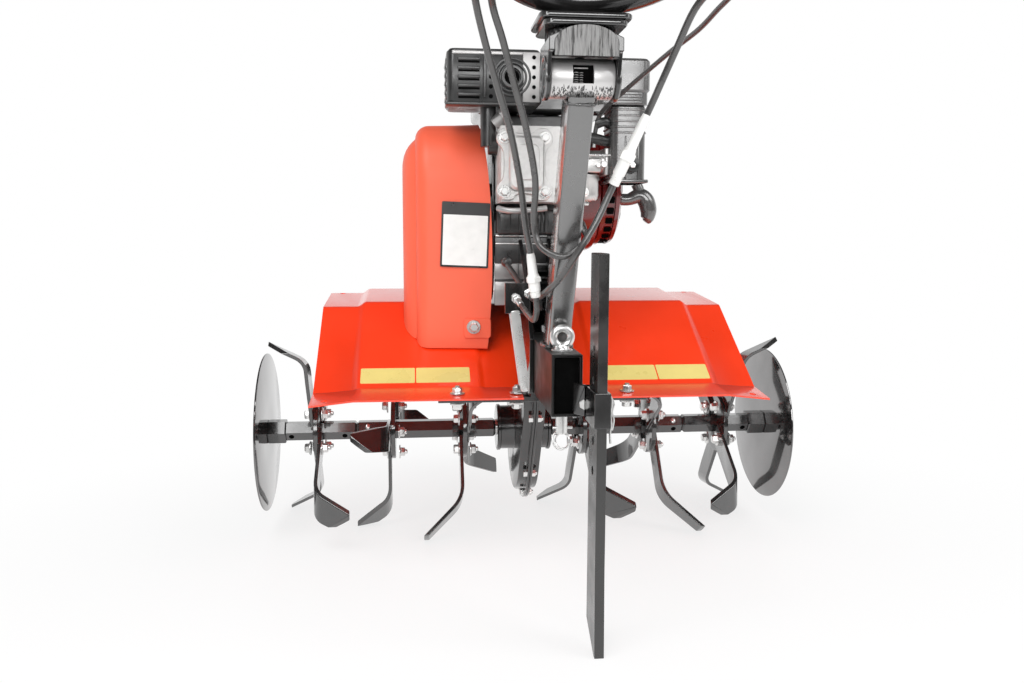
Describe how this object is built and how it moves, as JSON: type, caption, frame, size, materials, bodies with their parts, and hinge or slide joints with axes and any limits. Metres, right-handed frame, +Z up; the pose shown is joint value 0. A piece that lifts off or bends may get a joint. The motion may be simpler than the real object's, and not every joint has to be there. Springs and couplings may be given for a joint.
{
  "type": "walk-behind rotavator",
  "caption": "Walk-behind petrol rotavator: engine and belt guard over a tined rotor with side discs, fenders, drag stake and a tilting, swivelling handlebar.",
  "frame": {"origin": "on the floor under the middle of the machine", "axes": "+X to the operator's right, +Y forward, away from the operator, +Z up"},
  "size_m": [0.919, 1.458, 1.0038],
  "materials": {
    "rotor_black": "gloss black paint",
    "frame_black": "gloss black paint",
    "orange_paint": "semi-gloss orange-red paint",
    "zinc_steel": "zinc plated",
    "engine_alloy": "cast aluminium",
    "engine_black": "satin black",
    "engine_red": "dark red paint",
    "black_plastic": "moulded plastic",
    "rubber_black": "moulded rubber",
    "white_plastic": "moulded plastic"
  },
  "bodies": {
    "frame": {"chain_case_left": "frame_black", "chain_case_right": "frame_black", "rear_crossbar": "frame_black", "frame_plates": "frame_black", "engine_bed": "frame_black", "guard_back_plate": "frame_black", "hitch_receiver": "frame_black", "stem": "frame_black", "cable_bracket": "frame_black", "stake_bracket": "frame_black", "stake": "frame_black", "fender_left": "orange_paint", "fender_right": "orange_paint", "belt_guard": "orange_paint", "hitch_pin": "zinc_steel", "tilt_pin": "zinc_steel", "cylinder": "engine_alloy", "valve_cover": "engine_alloy", "carburettor": "engine_alloy", "crankcase": "engine_black", "fuel_tank": "engine_black", "muffler": "engine_black", "exhaust_pipe": "engine_black", "fan_shroud": "engine_red", "recoil_starter": "engine_red", "nameplate": "black_plastic", "recoil_grip": "black_plastic", "fuel_cap": "black_plastic", "air_cleaner_cap": "black_plastic", "air_cleaner_body": "black_plastic", "cables_lower": "rubber_black", "cable_adjusters": "white_plastic"},
    "rotor": {"drive_shaft": "zinc_steel", "axles": "rotor_black", "tine_set_left_inner": "rotor_black", "tine_set_left_middle": "rotor_black", "tine_set_left_outer": "rotor_black", "tine_set_right_inner": "rotor_black", "tine_set_right_middle": "rotor_black", "tine_set_right_outer": "rotor_black", "discs": "rotor_black"},
    "head": {"tilt_head": "frame_black"},
    "handlebar": {"swivel_plate": "frame_black", "handlebar": "frame_black", "grips": "rubber_black", "control_levers": "black_plastic", "cables_upper": "rubber_black"}
  },
  "joints": [
    {"name": "rotor_spin", "type": "hinge", "parent": "frame", "child": "rotor", "pos_m": [0, 0.48896, 0.17156], "axis": [-1, 0, 0], "continuous": true},
    {"name": "head_tilt", "type": "hinge", "parent": "frame", "child": "head", "pos_m": [0, -0.04604, 0.69256], "axis": [-1, 0, 0], "range_deg": [-15, 20], "deforming": ["cables_lower"]},
    {"name": "handlebar_swivel", "type": "hinge", "parent": "head", "child": "handlebar", "pos_m": [0, -0.04104, 0.74456], "axis": [0, 0, 1], "range_deg": [-30, 30], "deforming": ["cables_upper"]}
  ]
}
